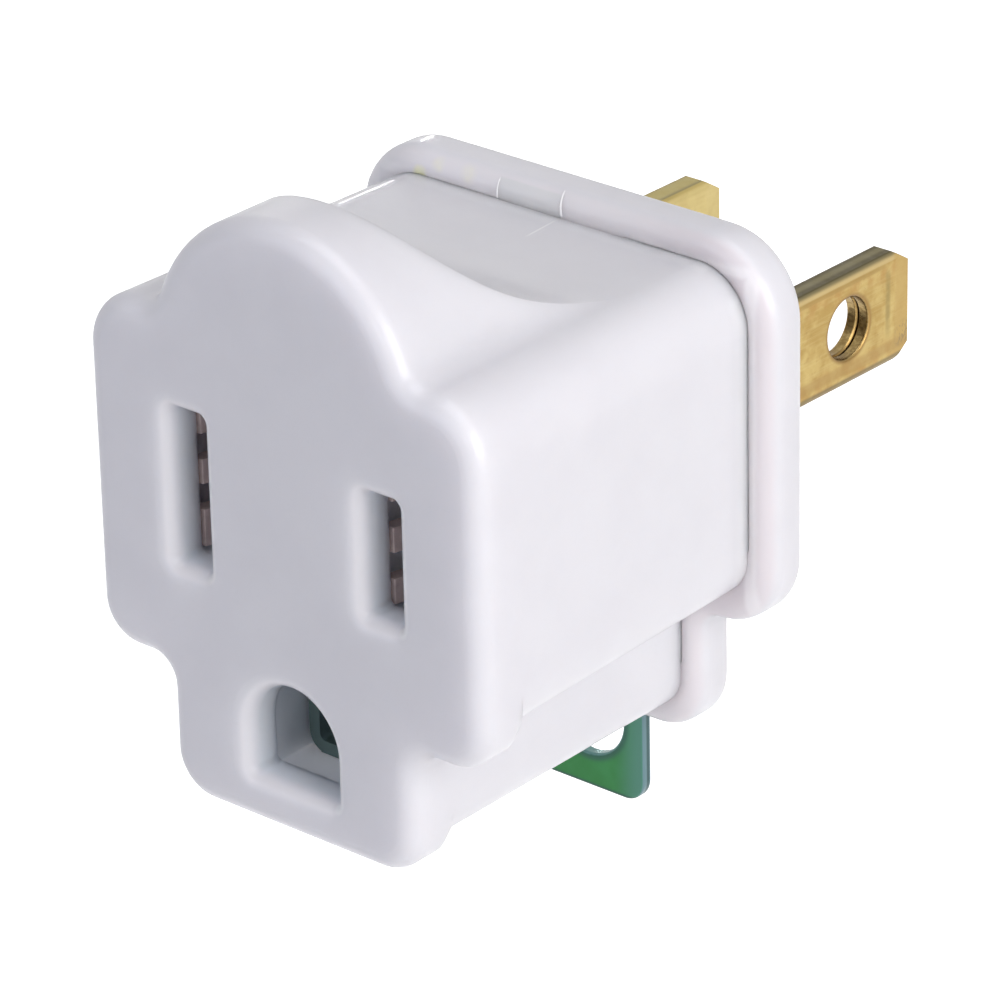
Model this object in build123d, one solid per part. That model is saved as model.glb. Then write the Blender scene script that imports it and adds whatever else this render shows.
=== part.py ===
from build123d import *
import math
import os

# Grounding plug adapter: a three-hole outlet face at the front, two folded brass blades
# and a green ground tab at the back. Origin on the wall face, midway between the blades;
# the outlet face looks along -Y, the blades point along +Y, +Z is up. Millimetres.

# Interface sizes of the plug and the outlet pattern
blade_half_pitch = 12.7 / 2
ground_drop = 11.9
neutral_half_height = 7.94 / 2
hot_half_height = 6.35 / 2
pin_radius = 4.8 / 2

# Housing, measured forward from the wall face
body_depth = 24.1
cover_thickness = 3.0
lip_thickness = 3.0
wall = 1.8
face_wall = 2.2
body_half_width = 12.3
body_top = 9.5
body_waist = -8.4
lip_waist = -9.9
boss_half_width = 7.9
boss_bottom = -16.0
lip_bottom = -17.1
side_draft = 0.6
under_draft = 0.3
top_corner = 3.1
waist_corner = 2.4
boss_corner = 2.0
lip_corner = 2.5
boss_neck = 1.3
front_edge = 1.1
lip_edge = 0.4

# Domed crown over the outlet face and the hollow ramp behind it
dome_centre = 7.3
dome_radius = 8.55
dome_valley = 1.5
ramp_radius = 14.0
ramp_start = 8.4

# Rear cover
cover_rim = 1.4
cover_top = 10.84
cover_half_width = body_half_width + cover_rim
cover_waist = -10.25
cover_boss_half_width = 8.95
cover_bottom = -17.5
cover_top_corner = 4.4
cover_waist_corner = 3.7
cover_boss_corner = 3.0
cover_neck = 1.0
cover_front_edge = 1.05
cover_rear_edge = 0.95
spigot_depth = 1.2
spigot_gap = 0.15
joint_left = -3.8
joint_right = 4.45
joint_gap = 0.12
joint_corner = 2.8

# Outlet slots
slot_half_width = 1.15
slot_round = 0.95
slot_corner = 0.35
neutral_slot_half_height = 4.27
hot_slot_half_height = 3.36
ground_slot_radius = 2.87
ground_slot_flat = 2.6

# Folded brass strip of each blade and contact
strip = 0.75
blade_length = 17.1
blade_coin = 0.07
blade_coin_reach = 0.55
blade_tip_coin = 1.25
fold_round = 0.22
edge_round = 0.45
tip_round = 0.1
seam = 0.1
seam_lip = 0.1
seam_depth = 0.35
tip_cut_y = 1.39
tip_cut_z = 0.87
blade_hole_y = 11.9
blade_hole_rise = 0.1
blade_hole_radius = 1.7
blade_hole_rim = 0.16
blade_slot_gap = 0.08
ear_length = 2.0
ear_reach = 1.3
jaw_open = 0.95
jaw_pinch = 0.5
jaw_mouth = 1.05
jaw_clearance = 0.13
jaw_setback = 2.4
jaw_mouth_length = 2.7
jaw_lead = 5.8
finger_middle = 1.35
finger_gap = 1.4
finger_length = 8.9

# Ground strap: sleeve for the round pin, floor and outside tab in one stamping
strap = 0.7
strap_floor = -(ground_drop + pin_radius)
strap_grip = 2.35
strap_wall_top = -9.9
strap_bend = 0.4
strap_neck = 2.3
sleeve_setback = 4.8
sleeve_length = 13.2
tab_front = 1.28
tab_half_width = 3.8
tab_shoulder = -15.7
tab_bottom = -23.6
tab_corner = 1.3
tab_hole_z = -19.2
tab_hole_radius = 2.45
tab_round = 0.15
tab_gap = 0.1

# Ribs inside the housing
rib = 1.1
partition_half = 3.3
shelf_gap = 0.25
roof_z = -8.6

ear_rear = cover_thickness + spigot_depth
ear_front = ear_rear + ear_length
cavity_front = body_depth - face_wall
lip_depth = body_depth - lip_thickness
jaw_front = body_depth - jaw_setback
sleeve_front = body_depth - sleeve_setback
big = 60


def rounded(points):
    """Face of a polygon whose corners (x, y, radius) are rounded by tangent arcs."""
    count = len(points)
    ends = []
    for i in range(count):
        p = Vector(*points[i][:2])
        r = points[i][2]
        if r == 0:
            ends.append((p, None, p))
            continue
        a = (Vector(*points[i - 1][:2]) - p).normalized()
        b = (Vector(*points[(i + 1) % count][:2]) - p).normalized()
        half = math.acos(max(-1, min(1, a.dot(b)))) / 2
        reach = r / math.tan(half)
        middle = (a + b).normalized()
        centre = p + middle * (r / math.sin(half))
        ends.append((p + a * reach, centre - middle * r, p + b * reach))
    edges = []
    for i in range(count):
        start, via, end = ends[i]
        if via is not None:
            edges.append(ThreePointArc(start, via, end))
        nxt = ends[(i + 1) % count][0]
        if (nxt - end).length > 1e-6:
            edges.append(Line(end, nxt))
    return make_face(edges)


def mirrored(right):
    """Closed corner list from its right half, given from the top down."""
    return right + [(-x, y, r) for x, y, r in reversed(right)]


def slab(face, rear, front):
    """Prism of an XZ face between two depths in front of the wall face."""
    return extrude(Plane.XZ.offset(rear) * face, amount=front - rear)


def drafted(rear_face, front_face, rear, front):
    """Like slab, between two similar faces, so that the sides have draft."""
    return loft([Plane.XZ.offset(rear) * rear_face, Plane.XZ.offset(front) * front_face], ruled=True)


def block(x0, x1, rear, front, z0, z1):
    """Box between two X values, two depths and two heights."""
    return Pos((x0 + x1) / 2, -(rear + front) / 2, (z0 + z1) / 2) * Box(x1 - x0, front - rear, z1 - z0)


def outline(half, top, waist, boss_half, bottom, r_top, r_waist, neck, r_boss):
    """Outline with a wide upper part and a narrower boss round the ground hole."""
    return rounded(mirrored([
        (half, top, r_top),
        (half, waist, r_waist),
        (boss_half, waist, neck),
        (boss_half, bottom, r_boss),
    ]))


def body_outline(depth, waist, bottom, r_boss):
    """Housing outline at one depth; the sides widen towards the outlet face."""
    share = (depth - cover_thickness) / (body_depth - cover_thickness)
    side = side_draft * share
    return outline(body_half_width + side, body_top, waist, boss_half_width + side / 2, bottom,
                   top_corner, waist_corner, boss_neck, r_boss)


def dome():
    """Face of the dome over the flat top, joined to its shoulders by small hollows."""
    rise = body_top + dome_valley - dome_centre
    foot = math.sqrt((dome_radius + dome_valley) ** 2 - rise ** 2)
    scale = dome_radius / (dome_radius + dome_valley)
    touch = Vector(foot * scale, dome_centre + rise * scale)
    centre = Vector(foot, body_top + dome_valley)
    middle = ((touch - centre) + Vector(0, -dome_valley)).normalized()
    via = centre + middle * dome_valley
    low = body_top - 2
    return make_face([
        ThreePointArc((-touch.X, touch.Y), (0, dome_centre + dome_radius), touch),
        ThreePointArc(touch, via, (foot, body_top)),
        Line((foot, body_top), (foot, low)),
        Line((foot, low), (-foot, low)),
        Line((-foot, low), (-foot, body_top)),
        ThreePointArc((-foot, body_top), (-via.X, via.Y), (-touch.X, touch.Y)),
    ])


def above_ramp(radius, level):
    """Everything above the hollow ramp that runs from the crown down to the flat top."""
    centre_z = body_top + ramp_radius
    lift = centre_z - (body_top + 8)
    reach = math.sqrt(radius ** 2 - lift ** 2)
    turn = math.atan2(lift, reach)
    mid = (turn + math.pi / 2) / 2
    side = make_face([
        ThreePointArc(
            (-ramp_start, centre_z - radius),
            (-ramp_start - radius * math.cos(mid), centre_z - radius * math.sin(mid)),
            (-ramp_start - reach, centre_z - lift),
        ),
        Line((-ramp_start - reach, centre_z - lift), (-ramp_start - reach, big)),
        Line((-ramp_start - reach, big), (big, big)),
        Line((big, big), (big, level)),
        Line((big, level), (-ramp_start, level)),
    ])
    return extrude(Plane.YZ * side, amount=big, both=True)


def slot_cut(x, half_height):
    """Blade slot through the face."""
    inner = Pos(x, 0) * RectangleRounded(2 * slot_half_width, 2 * half_height, slot_corner)
    return slab(inner, cavity_front - 0.5, body_depth + 1)


def ground_face(radius, centre, flat):
    """Round-topped ground hole with a flat bottom."""
    return make_face([
        ThreePointArc((-radius, centre), (0, centre + radius), (radius, centre)),
        Line((radius, centre), (radius, flat + slot_corner)),
        ThreePointArc(
            (radius, flat + slot_corner),
            (radius - slot_corner * (1 - math.sqrt(0.5)), flat + slot_corner * (1 - math.sqrt(0.5))),
            (radius - slot_corner, flat),
        ),
        Line((radius - slot_corner, flat), (-radius + slot_corner, flat)),
        ThreePointArc(
            (-radius + slot_corner, flat),
            (-radius + slot_corner * (1 - math.sqrt(0.5)), flat + slot_corner * (1 - math.sqrt(0.5))),
            (-radius, flat + slot_corner),
        ),
        Line((-radius, flat + slot_corner), (-radius, centre)),
    ])


def ground_cut():
    """Ground pin hole through the face."""
    inner = ground_face(ground_slot_radius, -ground_drop, -ground_drop - ground_slot_flat)
    return slab(inner, cavity_front - 0.5, body_depth + 1)


def front_housing():
    """Moulded shell with the outlet face, the contact chambers and the domed crown."""
    rear_shape = body_outline(cover_thickness, body_waist, boss_bottom, boss_corner)
    deep_shape = body_outline(body_depth, body_waist - under_draft, boss_bottom, boss_corner)
    lip_rear = body_outline(lip_depth, lip_waist + lip_edge, lip_bottom + lip_edge, lip_corner)
    lip_shape = body_outline(lip_depth + lip_edge, lip_waist, lip_bottom, lip_corner)
    face_shape = body_outline(body_depth, lip_waist, lip_bottom, lip_corner)
    solid = drafted(rear_shape, deep_shape, cover_thickness, body_depth)
    solid = solid + drafted(lip_rear, lip_shape, lip_depth, lip_depth + lip_edge)
    solid = solid + drafted(lip_shape, face_shape, lip_depth + lip_edge, body_depth)
    solid = solid + slab(dome(), cover_thickness, body_depth)
    solid = solid - above_ramp(ramp_radius, body_top)
    front_rim = solid.faces().sort_by(Axis.Y)[0].outer_wire().edges()
    solid = fillet(front_rim, front_edge)

    inner_half = body_half_width - wall
    hollow = rounded(mirrored([
        (inner_half, body_top - wall, top_corner - wall),
        (inner_half, body_waist + wall, waist_corner - wall),
        (boss_half_width - wall, body_waist + wall, 0),
        (boss_half_width - wall, strap_floor - strap, boss_corner - wall),
    ]))
    inner_dome = Pos(0, dome_centre) * Circle(dome_radius - wall)
    cavity = slab(hollow + inner_dome, cover_thickness, cavity_front) - above_ramp(ramp_radius + wall, body_top - wall)

    ribs = None
    for side in (-1, 1):
        low, high = sorted((side * partition_half, side * (partition_half + rib)))
        piece = block(low, high, ear_front, body_depth - 1, -big / 2, big / 2)
        ribs = piece if ribs is None else ribs + piece
        leaf_half = (neutral_half_height if side < 0 else hot_half_height) + leaf_over(side)
        low, high = sorted((side * (partition_half + rib / 2), side * big / 2))
        for level in (-1, 1):
            z0, z1 = sorted((level * (leaf_half + shelf_gap), level * (leaf_half + shelf_gap + rib)))
            ribs = ribs + block(low, high, ear_front, body_depth - 1, z0, z1)
    roof = block(-partition_half - rib / 2, partition_half + rib / 2, ear_front, body_depth - 1, roof_z, roof_z + rib)
    ribs = (ribs + roof) & slab(hollow, ear_front, cavity_front)
    solid = solid - (cavity - ribs)

    solid = solid - slot_cut(-blade_half_pitch, neutral_slot_half_height)
    solid = solid - slot_cut(blade_half_pitch, hot_slot_half_height)
    solid = solid - ground_cut()
    mouths = [e for w in solid.faces().sort_by(Axis.Y)[0].inner_wires() for e in w.edges()]
    solid = fillet(mouths, slot_round)
    joint = block(joint_left, joint_right, 0, cover_thickness + joint_gap, 0, big)
    for side in (-1, 1):
        for x, z in ((body_half_width, body_waist), (boss_half_width, boss_bottom)):
            x0, x1 = sorted((side * (x - joint_corner), side * (x + 1)))
            joint = joint + block(x0, x1, 0, cover_thickness + joint_gap, z - 1, z + joint_corner)
    return solid - (joint - slab(offset(rear_shape, -3 * joint_gap), -1, 2 * cover_thickness))


def leaf_over(side):
    """How far the contact leaves reach past the blade edge, above and below."""
    return jaw_clearance if side < 0 else 2 * jaw_clearance


def rear_cover():
    """Moulded cover on the back of the housing; the blades and the ground tab come out of it."""
    shape = outline(cover_half_width, cover_top, cover_waist, cover_boss_half_width, cover_bottom,
                    cover_top_corner, cover_waist_corner, cover_neck, cover_boss_corner)
    solid = slab(shape, 0, cover_thickness)
    rear_rim = solid.faces().sort_by(Axis.Y)[-1].outer_wire().edges()
    solid = fillet(rear_rim, cover_rear_edge)
    front_rim = solid.faces().sort_by(Axis.Y)[0].outer_wire().edges()
    solid = fillet(front_rim, cover_front_edge)

    plug_half = body_half_width - wall - spigot_gap
    plug = rounded(mirrored([
        (plug_half, body_top - wall - spigot_gap, top_corner - wall),
        (plug_half, body_waist + wall + spigot_gap, waist_corner - wall),
        (boss_half_width - wall - spigot_gap, body_waist + wall + spigot_gap, 0),
        (boss_half_width - wall - spigot_gap, strap_floor + spigot_gap, 0.3),
    ]))
    solid = solid + slab(plug, cover_thickness, ear_rear)
    relief_half = blade_half_pitch - 2.4
    solid = solid - block(-relief_half, relief_half, wall, ear_rear, roof_z, body_top - 2 * wall)

    for side, half in ((-1, neutral_half_height), (1, hot_half_height)):
        x = side * blade_half_pitch
        tall = half + blade_slot_gap
        solid = solid - block(x - strip - blade_slot_gap, x + strip + blade_slot_gap, -1, ear_rear, -tall, tall)

    neck = strap_neck + tab_gap
    sill = strap_floor - strap - tab_gap
    window = rounded([
        (1, strap_floor + tab_gap, 0), (-ear_rear, strap_floor + tab_gap, 0), (-ear_rear, sill, 0),
        (-tab_front, sill, strap), (-tab_front, tab_shoulder - tab_gap, 0), (1, tab_shoulder - tab_gap, 0),
    ])
    solid = solid - extrude(Plane.YZ * window, amount=neck, both=True)
    groove = tab_half_width + tab_gap
    return solid - block(-groove, groove, -1, tab_front, cover_bottom - 1, tab_shoulder + tab_gap)


def leaf_profile(side):
    """Top view of one springy jaw, from the blade root to its flared mouth."""
    root = ear_front - 0.6
    inner = [(0, -root), (0, -ear_front), (jaw_open, -ear_front - 2.0), (jaw_open, jaw_lead - jaw_front),
             (jaw_pinch, jaw_mouth_length - jaw_front), (jaw_mouth, -jaw_front)]
    outer = [(x + strip, y) for x, y in inner]
    ring = inner + outer[::-1]
    radii = [0, 0, 0.8, 0.8, 0.8, 0, 0, 0.8, 0.8, 0.8, 0, 0]
    corners = [(side * x, y, r) for (x, y), r in zip(ring, radii)]
    return rounded(corners)


def seam_cut(half):
    """Open edge of the folded strip: a thin seam along the blade's underside and up its tip."""
    turn = 0.4 * seam_depth
    low = seam_depth - half
    area = make_face(Polyline(
        (-ear_front, low), (blade_length - tip_cut_y - turn, low),
        (blade_length - seam_depth, tip_cut_z + turn - half), (blade_length - seam_depth, half - strip),
        (blade_length + 1, half - strip), (blade_length + 1, -big), (-ear_front, -big), close=True,
    ))
    return extrude(Plane.YZ * area, amount=seam / 2, both=True)


def hole_cut():
    """Cutter of the blade hole: rounded rims, and the seam between the strip's two layers."""
    r = blade_hole_radius
    rim = blade_hole_rim
    bend = rim * (1 - math.sqrt(0.5))
    side = seam / 2
    right = [
        Line((side, r + seam_depth), (side, r + seam_lip)),
        Line((side, r + seam_lip), (side + seam_lip, r)),
        Line((side + seam_lip, r), (strip - rim, r)),
        ThreePointArc((strip - rim, r), (strip - bend, r + bend), (strip, r + rim)),
        Line((strip, r + rim), (2 * strip, r + rim)),
        Line((2 * strip, r + rim), (2 * strip, 0)),
        Line((2 * strip, 0), (0, 0)),
        Line((0, 0), (0, r + seam_depth)),
        Line((0, r + seam_depth), (side, r + seam_depth)),
    ]
    cut = revolve(make_face(right), Axis.X)
    return cut + mirror(cut, Plane.YZ)


def blade_contact(side):
    """One folded brass strip: the doubled blade outside and the two jaws inside."""
    half = neutral_half_height if side < 0 else hot_half_height
    leaf_half = half + leaf_over(side)
    thin = strip - blade_coin
    tip_start = blade_length - blade_tip_coin
    plan = rounded(mirrored([(thin, blade_length, tip_round), (strip, tip_start, 0), (strip, -ear_front, 0)]))
    section = rounded(mirrored([
        (thin, half, fold_round), (strip, half - blade_coin_reach, 0),
        (strip, blade_coin_reach - half, 0), (thin, -half, edge_round),
    ]))
    elevation = rounded([
        (-ear_front, half, 0), (blade_length - tip_cut_y, half, 0), (blade_length, half - tip_cut_z, 0),
        (blade_length, -half + tip_cut_z, 0), (blade_length - tip_cut_y, -half, 0), (-ear_front, -half, 0),
    ])
    blade = extrude(plan, amount=half, both=True)
    blade = blade & extrude(Plane.XZ * section, amount=big, both=True)
    blade = blade & extrude(Plane.YZ * elevation, amount=big, both=True)
    blade = blade - seam_cut(half) - Pos(0, blade_hole_y, blade_hole_rise) * hole_cut()

    ears = block(-strip, strip, ear_rear, ear_front, -half - ear_reach, half + ear_reach)
    jaws = extrude(leaf_profile(1) + leaf_profile(-1), amount=leaf_half, both=True)
    gap_centre = (finger_middle + finger_gap) / 2
    for level in (-1, 1):
        z = level * gap_centre
        jaws = jaws - block(-3, 3, jaw_front - finger_length, jaw_front + 1, z - finger_gap / 2, z + finger_gap / 2)
    return Pos(side * blade_half_pitch, 0, 0) * (blade + ears + jaws)


def ground_strap():
    """Green stamping: pin sleeve inside, floor strip, and the tab that hangs out of the cover."""
    low_in = strap_floor
    low_out = strap_floor - strap
    back = strap_grip + strap
    channel = rounded([
        (back, strap_wall_top, strap * 0.4), (back, low_out, strap_bend + strap),
        (-back, low_out, strap_bend + strap), (-back, strap_wall_top, strap * 0.4),
        (-strap_grip, strap_wall_top, strap * 0.4), (-strap_grip, low_in, strap_bend),
        (strap_grip, low_in, strap_bend), (strap_grip, strap_wall_top, strap * 0.4),
    ])
    sleeve = slab(channel, sleeve_front - sleeve_length, sleeve_front)

    tab_rear = tab_front - strap
    elbow = rounded([
        (-sleeve_front, low_in, 0), (-tab_rear, low_in, strap + 0.4), (-tab_rear, tab_shoulder - 1, 0),
        (-tab_front, tab_shoulder - 1, 0), (-tab_front, low_out, 0.4), (-sleeve_front, low_out, 0),
    ])
    floor = extrude(Plane.YZ * elbow, amount=strap_neck, both=True)
    plate = rounded([
        (tab_half_width, tab_shoulder, 0.3), (tab_half_width, tab_bottom, tab_corner),
        (-tab_half_width, tab_bottom, tab_corner), (-tab_half_width, tab_shoulder, 0.3),
    ])
    tab = slab(plate, tab_rear, tab_front)
    tab = tab - slab(Pos(0, tab_hole_z) * Circle(tab_hole_radius), tab_rear - 1, tab_front + 1)
    tab = fillet(tab.faces().sort_by(Axis.Y)[0].edges() + tab.faces().sort_by(Axis.Y)[-1].edges(), tab_round)
    return sleeve + floor + tab


pieces = {
    "front_housing": front_housing(),
    "rear_cover": rear_cover(),
    "neutral_contact": blade_contact(-1),
    "hot_contact": blade_contact(1),
    "ground_strap": ground_strap(),
}

os.makedirs("parts", exist_ok=True)
for name, piece in pieces.items():
    export_step(piece, f"parts/{name}.step")
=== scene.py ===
import math

import bmesh
import bpy
from mathutils import Matrix, Vector


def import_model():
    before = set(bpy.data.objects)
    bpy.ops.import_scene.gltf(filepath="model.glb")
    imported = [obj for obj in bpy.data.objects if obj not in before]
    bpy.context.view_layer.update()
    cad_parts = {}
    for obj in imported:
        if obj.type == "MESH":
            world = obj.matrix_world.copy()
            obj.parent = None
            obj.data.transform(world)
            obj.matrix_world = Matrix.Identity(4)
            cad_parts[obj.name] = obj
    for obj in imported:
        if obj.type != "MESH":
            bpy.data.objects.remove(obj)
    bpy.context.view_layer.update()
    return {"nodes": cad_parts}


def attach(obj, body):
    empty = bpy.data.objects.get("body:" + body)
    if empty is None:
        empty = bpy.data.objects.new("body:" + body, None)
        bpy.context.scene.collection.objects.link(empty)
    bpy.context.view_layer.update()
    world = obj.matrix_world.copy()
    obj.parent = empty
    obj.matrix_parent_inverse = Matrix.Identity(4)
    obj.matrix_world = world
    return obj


MM = 0.001

# Places on the solids that the looks follow, in millimetres
OUTLET_FACE = -24.1
COVER_FRONT = -3.0
COVER_TOP = 10.84
COVER_EDGE = 1.05
BODY_TOP = 9.5
BODY_HALF_WIDTH = 12.3
BLADE_X = 6.35
BLADE_TIP = 17.1
NEUTRAL_HALF_HEIGHT = 3.97
HOT_HALF_HEIGHT = 3.175
BLADE_HOLE = (0, 11.9, 0.1)
BLADE_HOLE_RADIUS = 1.7
TAB_HOLE = (0, 0, -19.2)
TAB_HOLE_RADIUS = 2.45
TAB_BOTTOM = -23.6

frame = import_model()
nodes = frame["nodes"]


# Node helpers

class Shader:
    """Short way to build one material's node tree."""

    def __init__(self, name):
        self.material = bpy.data.materials.new(name)
        self.material.use_nodes = True
        self.tree = self.material.node_tree
        self.surface = self.tree.nodes["Principled BSDF"]
        coordinates = self.node("ShaderNodeTexCoord")
        scale = self.node("ShaderNodeVectorMath", operation="SCALE")
        scale.inputs["Scale"].default_value = 1 / MM
        self.link(coordinates.outputs["Object"], scale.inputs[0])
        self.mm = scale.outputs[0]
        self.normal = self.node("ShaderNodeNewGeometry").outputs["Normal"]

    def node(self, kind, **settings):
        new = self.tree.nodes.new(kind)
        for key, value in settings.items():
            setattr(new, key, value)
        return new

    def link(self, start, end):
        self.tree.links.new(start, end)

    def feed(self, socket, value):
        """Link a socket's value, or write a plain one."""
        if isinstance(value, bpy.types.NodeSocket):
            self.link(value, socket)
        else:
            socket.default_value = value

    def set(self, name, value):
        """Give the surface shader one of its inputs."""
        self.feed(self.surface.inputs[name], value)

    def math(self, operation, a, b=0.0):
        new = self.node("ShaderNodeMath", operation=operation)
        self.feed(new.inputs[0], a)
        self.feed(new.inputs[1], b)
        return new.outputs[0]

    def add(self, a, b):
        return self.math("ADD", a, b)

    def times(self, first, *others):
        for other in others:
            first = self.math("MULTIPLY", first, other)
        return first

    def highest(self, a, b):
        return self.math("MAXIMUM", a, b)

    def absolute(self, value):
        return self.math("ABSOLUTE", value)

    def ramp(self, value, low, high, to_low=0.0, to_high=1.0):
        """Smooth step from to_low at low to to_high at high."""
        new = self.node("ShaderNodeMapRange", interpolation_type="SMOOTHSTEP")
        self.feed(new.inputs["Value"], value)
        new.inputs["From Min"].default_value = low
        new.inputs["From Max"].default_value = high
        new.inputs["To Min"].default_value = to_low
        new.inputs["To Max"].default_value = to_high
        return new.outputs["Result"]

    def fall(self, value, low, high, start=1.0):
        """Smooth step from start at low down to 0 at high."""
        return self.ramp(value, low, high, start, 0.0)

    def near(self, value, middle, half, soft):
        """1 within half of the middle value, fading to 0 over the soft distance."""
        return self.fall(self.absolute(self.math("SUBTRACT", value, middle)), half, half + soft)

    def stretched(self, sx, sy, sz):
        """Coordinates in millimetres, stretched along the axes."""
        new = self.node("ShaderNodeVectorMath", operation="MULTIPLY")
        self.link(self.mm, new.inputs[0])
        new.inputs[1].default_value = (sx, sy, sz)
        return new.outputs[0]

    def distance(self, point, vector=None):
        """Millimetres from a point; a stretched vector with a 0 leaves that axis out."""
        new = self.node("ShaderNodeVectorMath", operation="DISTANCE")
        self.link(vector or self.mm, new.inputs[0])
        new.inputs[1].default_value = point
        return new.outputs["Value"]

    def axis(self, vector, name):
        new = self.node("ShaderNodeSeparateXYZ")
        self.link(vector, new.inputs[0])
        return new.outputs[name]

    def xyz(self):
        """The three coordinates in millimetres."""
        return (self.axis(self.mm, name) for name in "XYZ")

    def noise(self, scale, detail=2.0, roughness=0.5, vector=None):
        new = self.node("ShaderNodeTexNoise")
        self.link(vector or self.mm, new.inputs["Vector"])
        new.inputs["Scale"].default_value = scale
        new.inputs["Detail"].default_value = detail
        new.inputs["Roughness"].default_value = roughness
        return new.outputs["Fac"]

    def mix(self, factor, a, b):
        """Colour a where the factor is 0 and b where it is 1."""
        new = self.node("ShaderNodeMix", data_type="RGBA")
        self.feed(new.inputs[0], factor)
        self.feed(new.inputs[6], a if isinstance(a, bpy.types.NodeSocket) else (*a, 1))
        self.feed(new.inputs[7], b if isinstance(b, bpy.types.NodeSocket) else (*b, 1))
        return new.outputs[2]

    def bump(self, height, strength, distance, before=None):
        new = self.node("ShaderNodeBump")
        new.inputs["Strength"].default_value = strength
        new.inputs["Distance"].default_value = distance * MM
        self.link(height, new.inputs["Height"])
        if before is not None:
            self.link(before, new.inputs["Normal"])
        return new.outputs["Normal"]

    def soft_edges(self, radius):
        new = self.node("ShaderNodeBevel", samples=4)
        new.inputs["Radius"].default_value = radius * MM
        return new.outputs["Normal"]


# Materials

def housing_tint(s, colour):
    """Painted light in the openings: paler mouths, lighter bluish chambers and a painted highlight on the
    rims turned away; painted light over the crease at the back; the open joint at the back and a scratch
    on the top.
    """
    x, y, z = s.xyz()
    wide = s.absolute(x)
    slots = s.times(s.fall(wide, 9.6, 9.8), s.near(z, 0.0, 7.0, 0.2))
    socket = s.times(s.fall(wide, 6.4, 6.6), s.near(z, -11.2, 4.0, 0.2))
    opened = s.highest(slots, socket)
    # Painted light: the mouths of the openings paler than the plastic.
    painted_light_mouth = s.times(opened, s.ramp(y, OUTLET_FACE + 0.02, OUTLET_FACE + 0.20), 0.85)
    colour = s.mix(painted_light_mouth, colour, (0.920, 0.890, 0.910))
    # Painted light: the chambers deeper in lighter and bluish, standing in for light and cool shade there.
    painted_light_hollow = s.times(opened, s.ramp(y, OUTLET_FACE + 0.3, OUTLET_FACE + 1.2))
    colour = s.mix(painted_light_hollow, colour, (0.850, 0.890, 1.000))
    # Painted highlight on the rounded rims of the openings that turn away.
    turned = s.fall(s.axis(s.normal, "X"), -0.45, -0.18)
    painted_highlight_rim = s.times(opened, turned, s.fall(y, OUTLET_FACE + 0.4, OUTLET_FACE + 0.6, 0.95))
    colour = s.mix(painted_highlight_rim, colour, (1.000, 0.985, 0.980))

    # Painted light that lifts the shade of the crease where the housing meets the cover.
    outside = s.ramp(z, BODY_TOP - 0.2, BODY_TOP - 0.05)
    outside = s.highest(outside, s.ramp(wide, BODY_HALF_WIDTH - 0.8, BODY_HALF_WIDTH - 0.4))
    back = s.times(outside, s.ramp(y, COVER_FRONT - 1.3, COVER_FRONT - 0.15), 0.9)
    colour = s.mix(back, colour, (0.98, 0.975, 0.995))
    joint = s.times(
        s.ramp(y, COVER_FRONT - 0.14, COVER_FRONT - 0.10),
        s.ramp(z, BODY_TOP - 1.0, BODY_TOP - 0.5),
        s.near(x, 0.325, 4.05, 0.10),
    )
    colour = s.mix(joint, colour, (0.30, 0.30, 0.32))

    lean = s.add(x, s.times(s.add(y, 3.1), 0.075))
    scratch = s.times(
        s.near(lean, 0.28, 0.02, 0.07),
        s.ramp(y, -6.2, -5.4),
        s.ramp(z, BODY_TOP - 0.3, BODY_TOP - 0.1),
        0.8,
    )
    return s.mix(scratch, colour, (0.97, 0.97, 0.97))


def cover_tint(s, colour):
    """Painted reflected light on the front band, paler on the left and pinker on the right, painted light
    over its creases, a dull patch between the mould lines and a few yellow spots.
    """
    x, y, z = s.xyz()
    # Painted reflected light: the front band paler on the left and pinker on the right.
    band = s.fall(s.axis(s.normal, "Y"), -0.75, -0.25)
    tone = s.mix(s.ramp(x, 3.0, 10.0), (0.850, 0.815, 0.835), (0.785, 0.725, 0.750))
    colour = s.mix(s.times(band, 0.8), colour, tone)
    # Painted light over the shade in the creases where the band meets the housing.
    painted_light_crease = s.times(s.fall(z, BODY_TOP, BODY_TOP + 0.4), s.ramp(z, BODY_TOP - 0.5, BODY_TOP - 0.2))
    painted_light_crease = s.highest(painted_light_crease, s.near(s.absolute(x), BODY_HALF_WIDTH + 0.1, 0.2, 0.35))
    colour = s.mix(s.times(painted_light_crease, band, 0.6), colour, (0.98, 0.945, 0.965))
    dull = s.times(
        s.near(x, -1.84, 2.05, 0.12),
        s.fall(z, COVER_TOP - 0.34, COVER_TOP - 0.22),
        s.fall(y, COVER_FRONT + 0.4, COVER_FRONT + 0.8),
        0.7,
    )
    colour = s.mix(dull, colour, (0.74, 0.755, 0.750))
    uneven = s.ramp(s.noise(1.4, 2.0), 0.3, 0.7, 0.5, 1.0)
    for centre, radius, soft, amount in (
        ((-6.0, -2.9, 10.3), 0.15, 0.60, 0.30),
        ((-9.2, -3.0, 9.50), 0.22, 0.40, 1.00),
        ((-8.0, -2.9, 10.3), 0.10, 0.50, 0.35),
    ):
        spot = s.fall(s.distance(centre), radius, radius + soft)
        colour = s.mix(s.times(spot, uneven, amount), colour, (1.00, 0.96, 0.60))
    return colour


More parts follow.
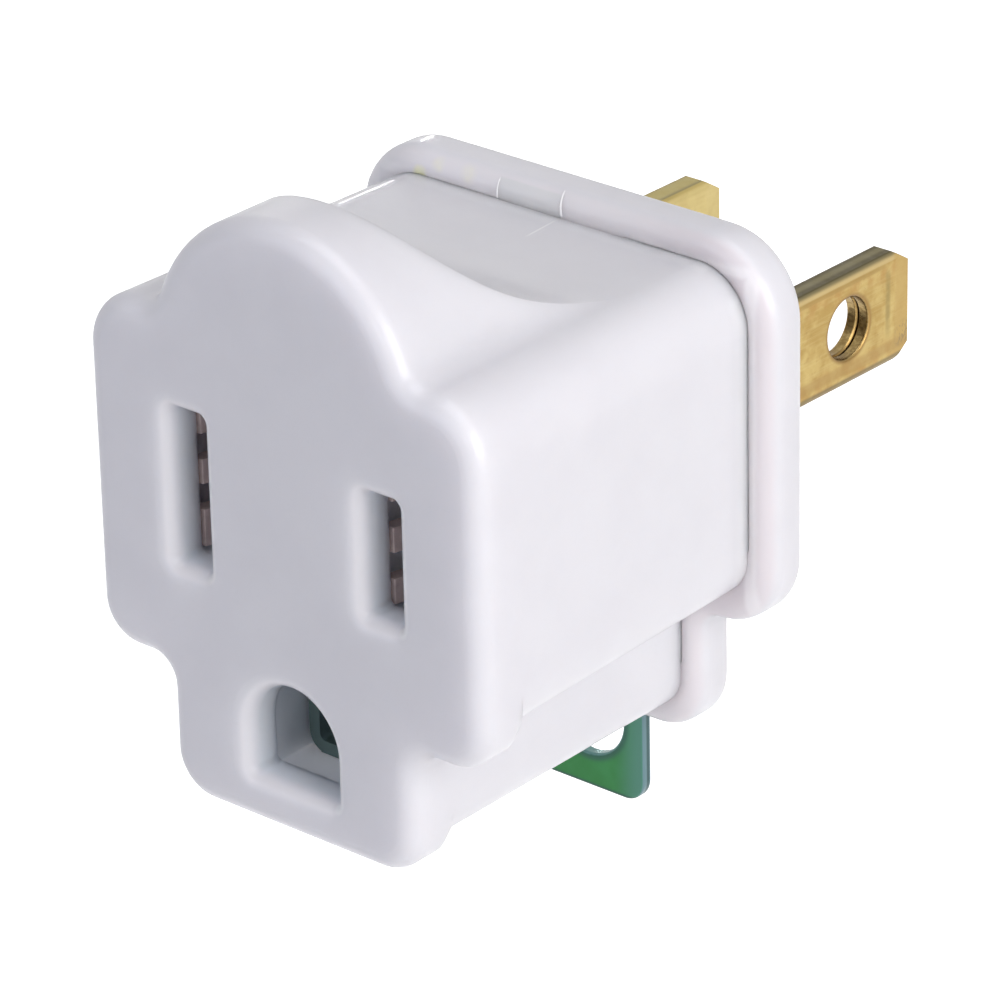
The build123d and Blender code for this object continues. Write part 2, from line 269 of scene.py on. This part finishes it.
def white_plastic(name, tint):
    """Satin white moulded plastic, very slightly cool; tint adds what only this part shows."""
    s = Shader(name)
    cloud = s.noise(0.16, 3.0, 0.55)
    speck = s.noise(5.5, 2.0, 0.6)
    colour = s.mix(s.ramp(cloud, 0.35, 0.65), (0.764, 0.758, 0.788), (0.786, 0.780, 0.808))
    colour = s.mix(s.ramp(speck, 0.60, 0.72, 0.0, 0.25), colour, (0.74, 0.735, 0.755))
    s.set("Base Color", tint(s, colour))
    s.set("Roughness", s.ramp(s.noise(0.5, 4.0, 0.6), 0.3, 0.7, 0.34, 0.44))
    s.set("IOR", 1.5)
    s.set("Coat Weight", 0.3)
    s.set("Coat Roughness", 0.08)
    s.set("Subsurface Weight", 1.0)
    s.set("Subsurface Scale", 2.8 * MM)
    s.set("Subsurface Radius", (1.0, 0.95, 0.92))
    grain = s.bump(s.noise(9.0, 3.0, 0.6), 0.10, 0.02, s.soft_edges(0.12))
    s.set("Normal", s.bump(s.noise(0.22, 1.0, 0.4), 0.25, 0.06, grain))
    return s.material


def press_marks(s, colour, fleck, border, tip):
    """Coined border, worn lines, dark flecks and painted shade along the bottom edge of the blade whose
    outer face shows.
    """
    z = s.axis(s.mm, "Z")
    upper = s.ramp(z, 0.5, 1.5)
    lower = s.fall(z, -1.5, -0.5)
    warm = s.times(s.fall(border, 0.9, 1.9), s.ramp(s.noise(1.3, 4.0), 0.36, 0.66), 0.65)
    colour = s.mix(warm, colour, (0.360, 0.205, 0.062))
    colour = s.mix(s.ramp(fleck, 0.62, 0.78, 0.0, 0.5), colour, (0.270, 0.185, 0.075))
    bevel = s.mix(s.ramp(border, 0.02, 0.34), (0.190, 0.160, 0.085), (0.470, 0.355, 0.160))
    colour = s.mix(s.times(s.fall(border, 0.40, 0.52), upper), colour, bevel)
    line = s.times(s.near(border, 0.58, 0.04, 0.16), upper, s.ramp(tip, 1.2, 3.0), 0.8)
    colour = s.mix(line, colour, (0.320, 0.215, 0.070))
    colour = s.mix(s.fall(tip, 1.0, 1.5, 0.8), colour, (0.410, 0.280, 0.090))
    cross = s.times(
        s.near(tip, 1.86, 0.06, 0.26),
        s.ramp(z, -2.0, -0.4),
        s.ramp(border, 0.6, 1.3),
        s.ramp(s.noise(1.6, 2.0), 0.30, 0.60, 0.55, 1.0),
        0.85,
    )
    colour = s.mix(cross, colour, (0.280, 0.210, 0.075))
    low_band = s.times(s.near(border, 1.05, 0.16, 0.28), lower, 0.6)
    colour = s.mix(low_band, colour, (0.330, 0.215, 0.075))
    # Painted shade along the bottom edge.
    painted_shade_foot = s.times(s.fall(border, 0.42, 0.60), lower, 0.75)
    colour = s.mix(painted_shade_foot, colour, (0.150, 0.120, 0.058))
    corner = s.times(
        s.fall(tip, 0.7, 1.5),
        s.near(z, -1.7, 0.4, 0.4),
        s.ramp(s.noise(4.0, 1.0), 0.52, 0.62),
        0.6,
    )
    return s.mix(corner, colour, (0.230, 0.170, 0.080))


def brass(name, centre, half, marked):
    """Folded brass strip: roller marks, warm blotches and dull edges, painted paler and greyer inside the
    housing as painted light; marked adds the press marks.
    """
    s = Shader(name)
    x, y, z = s.xyz()
    edge = s.fall(s.absolute(s.axis(s.normal, "X")), 0.35, 0.75)
    roller = s.noise(1.0, 3.0, 0.6, s.stretched(3.0, 0.35, 7.0))
    blotch = s.noise(0.75, 3.0, 0.6)
    fleck = s.noise(6.0, 2.0, 0.7)
    border = s.math("SUBTRACT", half, s.absolute(z))
    tip = s.math("SUBTRACT", BLADE_TIP, y)
    hole = s.distance(BLADE_HOLE, s.stretched(0, 1, 1))

    colour = s.mix(s.ramp(blotch, 0.35, 0.65), (0.465, 0.344, 0.126), (0.363, 0.242, 0.073))
    colour = s.mix(s.ramp(roller, 0.40, 0.70, 0.0, 0.4), colour, (0.502, 0.386, 0.163))
    if marked:
        colour = press_marks(s, colour, fleck, border, tip)
        fold = s.near(x, centre - 0.05, 0.08, 0.28)
        sheared = s.mix(fold, (0.085, 0.070, 0.032), (0.175, 0.150, 0.075))
    else:
        colour = s.mix(0.6, colour, (0.495, 0.416, 0.187))
        colour = s.mix(s.fall(border, 0.10, 0.34, 0.5), colour, (0.420, 0.320, 0.110))
        fold = s.near(x, centre, 0.30, 0.35)
        sheared = s.mix(fold, (0.200, 0.180, 0.105), (0.370, 0.305, 0.115))
    around = s.fall(hole, BLADE_HOLE_RADIUS + 0.10, BLADE_HOLE_RADIUS + 0.34, 0.85)
    colour = s.mix(around, colour, (0.250, 0.150, 0.050))
    colour = s.mix(s.times(edge, 0.85), colour, sheared)
    bore = s.fall(hole, BLADE_HOLE_RADIUS - 0.04, BLADE_HOLE_RADIUS + 0.10)
    bronze = s.mix(s.ramp(roller, 0.35, 0.65), (0.430, 0.310, 0.130), (0.250, 0.165, 0.060))
    colour = s.mix(bore, colour, bronze)
    # Painted light: the parts inside the housing paler, greyer and less metallic, standing in for light in
    # the dark chambers.
    inside = s.fall(y, -2.5, -0.5)
    painted_light_inside = s.mix(s.ramp(blotch, 0.4, 0.6), (0.660, 0.545, 0.510), (0.560, 0.455, 0.430))
    s.set("Base Color", s.mix(inside, colour, painted_light_inside))
    s.set("Metallic", s.ramp(y, -2.5, -0.5, 0.3, 1.0))
    worn = s.ramp(s.noise(0.9, 4.0, 0.6), 0.3, 0.7, 0.30, 0.44)
    worn = s.add(s.add(worn, s.times(edge, 0.08)), s.times(inside, 0.20))
    s.set("Roughness", s.math("SUBTRACT", worn, s.times(bore, 0.22)))
    lines = s.bump(roller, 0.12, 0.03, s.soft_edges(0.07))
    s.set("Normal", s.bump(fleck, 0.10, 0.02, lines))
    return s.material


def green_metal(name):
    """Green-dyed steel strip with a satin gloss, duller on its sheared edges and inside."""
    s = Shader(name)
    x, y, z = s.xyz()
    hole = s.distance(TAB_HOLE, s.stretched(1, 0, 1))
    tone = s.noise(0.5, 3.0, 0.5)
    colour = s.mix(s.ramp(tone, 0.35, 0.65), (0.012, 0.165, 0.030), (0.020, 0.195, 0.046))
    colour = s.mix(s.ramp(x, 1.6, 3.7), colour, (0.060, 0.205, 0.145))
    around = s.fall(hole, TAB_HOLE_RADIUS + 0.17, TAB_HOLE_RADIUS + 0.60, 0.85)
    colour = s.mix(around, colour, (0.010, 0.075, 0.055))
    colour = s.mix(s.fall(z, TAB_BOTTOM + 0.10, TAB_BOTTOM + 0.32, 0.9), colour, (0.008, 0.060, 0.045))
    grey = s.mix(s.near(y, -0.86, 0.06, 0.09), (0.120, 0.215, 0.235), (0.030, 0.085, 0.085))
    colour = s.mix(s.ramp(s.axis(s.normal, "X"), 0.45, 0.75), colour, grey)
    bore = s.fall(hole, TAB_HOLE_RADIUS + 0.03, TAB_HOLE_RADIUS + 0.15)
    colour = s.mix(bore, colour, (0.160, 0.330, 0.310))
    colour = s.mix(s.fall(y, -3.0, -1.6, 0.9), colour, (0.200, 0.270, 0.260))
    s.set("Base Color", colour)
    s.set("Metallic", 0.35)
    s.set("Roughness", s.ramp(s.noise(1.2, 2.0), 0.1, 0.9, 0.29, 0.37))
    s.set("Specular IOR Level", 0.42)
    s.set("Normal", s.bump(s.noise(3.5, 1.0, 0.5), 0.06, 0.01))
    return s.material


def highlighted_flash(name):
    """Thin edge of the same plastic, worn smooth, painted brighter as a painted highlight."""
    s = Shader(name)
    tone = s.ramp(s.noise(3.0, 2.0), 0.35, 0.65)
    s.set("Base Color", s.mix(tone, (0.95, 0.945, 0.95), (0.99, 0.985, 0.99)))
    s.set("Roughness", s.ramp(s.noise(6.0, 2.0), 0.3, 0.7, 0.30, 0.38))
    s.set("Normal", s.bump(s.noise(12.0, 2.0), 0.1, 0.01))
    return s.material


finish = {
    "front_housing": white_plastic("housing_white", housing_tint),
    "rear_cover": white_plastic("cover_white", cover_tint),
    "neutral_contact": brass("neutral_brass", -BLADE_X, NEUTRAL_HALF_HEIGHT, False),
    "hot_contact": brass("hot_brass", BLADE_X, HOT_HALF_HEIGHT, True),
    "ground_strap": green_metal("strap_green"),
}
for name, material in finish.items():
    mesh = nodes[name].data
    mesh.materials.clear()
    mesh.materials.append(material)


# Thin flash lines that the mould left over the cover's front edge

FLASH_START = 9.42
FLASH_HEIGHT = 0.055
FLASH_SUNK = 0.03
FLASH_STEPS = 12
FLASH_PROFILE = [(-1.0, -0.04), (-0.7, 0.7), (-0.25, 1.0), (0.25, 1.0), (0.7, 0.7), (1.0, -0.04)]


def flash_path(head_angle):
    """Points (y, z) with outward normals, up the front face and over the rounded edge."""
    edge_start = COVER_TOP - COVER_EDGE
    path = [((COVER_FRONT, FLASH_START), (-1.0, 0.0)), ((COVER_FRONT, edge_start), (-1.0, 0.0))]
    for i in range(1, FLASH_STEPS + 1):
        angle = math.radians(head_angle) * i / FLASH_STEPS
        ny, nz = -math.cos(angle), math.sin(angle)
        place = (COVER_FRONT + COVER_EDGE * (1 + ny), edge_start + COVER_EDGE * nz)
        path.append((place, (ny, nz)))
    return path


def flash_line(name, material, foot_x, head_x, head_angle, foot_width, head_width):
    """Low ridge that climbs the cover's front face and rolls over its rounded edge."""
    path = flash_path(head_angle)
    build = bmesh.new()
    rings = []
    for i, ((y, z), (ny, nz)) in enumerate(path):
        t = i / (len(path) - 1)
        x = foot_x + (head_x - foot_x) * t
        half = (foot_width + (head_width - foot_width) * t) / 2
        height = FLASH_HEIGHT * min(1.0, 3.0 * (1.0 - t) + 0.1)
        ring = []
        for across, up in FLASH_PROFILE:
            rise = height * up - FLASH_SUNK
            ring.append(build.verts.new(Vector((x + half * across, y + rise * ny, z + rise * nz)) * MM))
        rings.append(ring)
    for low, high in zip(rings, rings[1:]):
        for i in range(len(FLASH_PROFILE)):
            j = (i + 1) % len(FLASH_PROFILE)
            build.faces.new((low[i], low[j], high[j], high[i]))
    build.faces.new(rings[0])
    build.faces.new(reversed(rings[-1]))
    bmesh.ops.recalc_face_normals(build, faces=build.faces)
    for face in build.faces:
        face.smooth = len(face.verts) == 4
    mesh = bpy.data.meshes.new(name)
    build.to_mesh(mesh)
    build.free()
    mesh.materials.append(material)
    line = bpy.data.objects.new(name, mesh)
    bpy.context.scene.collection.objects.link(line)
    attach(line, "root")


# Painted highlight: the flash lines brighter than the plastic they belong to.
flash_painted_highlight = highlighted_flash("flash_painted_highlight")
flash_line("flash_line_left", flash_painted_highlight, -3.97, -3.97, 52, 0.11, 0.07)
flash_line("flash_line_right", flash_painted_highlight, 0.28, 0.04, 76, 0.20, 0.08)


# Camera, solved from the outlet's standard spacing as the photograph shows it

CAMERA_AZIMUTH = 41.302
CAMERA_ELEVATION = 25.246
CAMERA_ROLL = -1.298
CAMERA_DISTANCE = 300.381
CAMERA_TARGET = (0, -6, -3)
CAMERA_SHIFT = (-1.160, -1.985)
CAMERA_SENSOR = 36
CAMERA_ZOOM = 5.89884


def photo_camera():
    azimuth, elevation = math.radians(CAMERA_AZIMUTH), math.radians(CAMERA_ELEVATION)
    roll = math.radians(CAMERA_ROLL)
    back = Vector((
        math.sin(azimuth) * math.cos(elevation),
        -math.cos(azimuth) * math.cos(elevation),
        math.sin(elevation),
    ))
    level = Vector((math.cos(azimuth), math.sin(azimuth), 0))
    rise = back.cross(level)
    right = level * math.cos(roll) + rise * math.sin(roll)
    up = rise * math.cos(roll) - level * math.sin(roll)
    shift = right * CAMERA_SHIFT[0] + up * CAMERA_SHIFT[1]
    place = (Vector(CAMERA_TARGET) + shift + back * CAMERA_DISTANCE) * MM
    data = bpy.data.cameras.new("photo_camera")
    data.sensor_width = CAMERA_SENSOR
    data.lens = CAMERA_SENSOR * CAMERA_ZOOM
    data.clip_start = 0.01
    camera = bpy.data.objects.new("photo_camera", data)
    turn = Matrix((right, up, back)).transposed().to_4x4()
    camera.matrix_world = Matrix.Translation(place) @ turn
    bpy.context.scene.collection.objects.link(camera)
    bpy.context.scene.camera = camera


photo_camera()


# Light and ground, in metres and watts

LAMP_TARGET = (0, -0.005, -0.003)
FLOOR_HEIGHT = -0.085
FLOOR_HALF_SIZE = 6
FLOOR_GLOW = 0.95
WORLD_LIGHT = (0.075, 0.073, 0.075, 1)


def lamp(name, place, size, power, colour):
    """Square soft light that faces the object."""
    data = bpy.data.lights.new(name, "AREA")
    data.shape = "SQUARE"
    data.size = size
    data.energy = power
    data.color = colour
    new = bpy.data.objects.new(name, data)
    new.location = place
    aim = Vector(LAMP_TARGET) - Vector(place)
    new.rotation_euler = aim.to_track_quat("-Z", "Y").to_euler()
    bpy.context.scene.collection.objects.link(new)


def math_node(tree, operation, a, b):
    """Math node of a tree that isn't a Shader's; a is a socket and b a socket or a number."""
    new = tree.nodes.new("ShaderNodeMath")
    new.operation = operation
    tree.links.new(a, new.inputs[0])
    if isinstance(b, bpy.types.NodeSocket):
        tree.links.new(b, new.inputs[1])
    else:
        new.inputs[1].default_value = b
    return new.outputs[0]


def seen_white(tree):
    """1 for rays from the camera and for what metal and gloss reflect, else 0."""
    path = tree.nodes.new("ShaderNodeLightPath").outputs
    reflected = math_node(tree, "MAXIMUM", path["Is Camera Ray"], path["Is Glossy Ray"])
    return math_node(tree, "MAXIMUM", reflected, path["Is Transmission Ray"])


def world():
    """Faint even light, seen as white."""
    new = bpy.data.worlds.new("studio")
    new.use_nodes = True
    tree = new.node_tree
    mix = tree.nodes.new("ShaderNodeMix")
    mix.data_type = "RGBA"
    mix.inputs[6].default_value = WORLD_LIGHT
    mix.inputs[7].default_value = (1, 1, 1, 1)
    tree.links.new(seen_white(tree), mix.inputs[0])
    tree.links.new(mix.outputs[2], tree.nodes["Background"].inputs["Color"])
    bpy.context.scene.world = new


def ground():
    """Large pale floor well under the object; it keeps the shadow and looks white."""
    mesh = bpy.data.meshes.new("floor")
    build = bmesh.new()
    bmesh.ops.create_grid(build, x_segments=2, y_segments=2, size=FLOOR_HALF_SIZE)
    build.to_mesh(mesh)
    build.free()
    floor = bpy.data.objects.new("floor", mesh)
    floor.location = (0, 0, FLOOR_HEIGHT)
    bpy.context.scene.collection.objects.link(floor)
    pale = bpy.data.materials.new("floor_pale")
    pale.use_nodes = True
    tree = pale.node_tree
    surface = tree.nodes["Principled BSDF"].inputs
    surface["Base Color"].default_value = (0.85, 0.85, 0.85, 1)
    surface["Roughness"].default_value = 0.9
    surface["Specular IOR Level"].default_value = 0.1
    surface["Emission Color"].default_value = (1, 1, 1, 1)
    tree.links.new(math_node(tree, "MULTIPLY", seen_white(tree), FLOOR_GLOW), surface["Emission Strength"])
    mesh.materials.append(pale)


lamp("key_right", (0.55, -0.10, 0.22), 0.45, 2.86, (1.0, 0.982, 0.998))
lamp("top_soft", (0.05, -0.02, 0.65), 0.55, 1.70, (0.95, 0.94, 1.0))
lamp("front_fill", (-0.20, -0.60, 0.15), 0.5, 0.83, (0.78, 0.82, 1.0))
lamp("near_camera", (0.30, -0.50, 0.26), 0.12, 0.20, (0.95, 0.97, 1.0))
lamp("glint_back", (-0.502, 0.476, 0.111), 0.03, 0.085, (1.0, 1.0, 1.0))
world()
ground()

bpy.context.scene.view_settings.view_transform = "Standard"
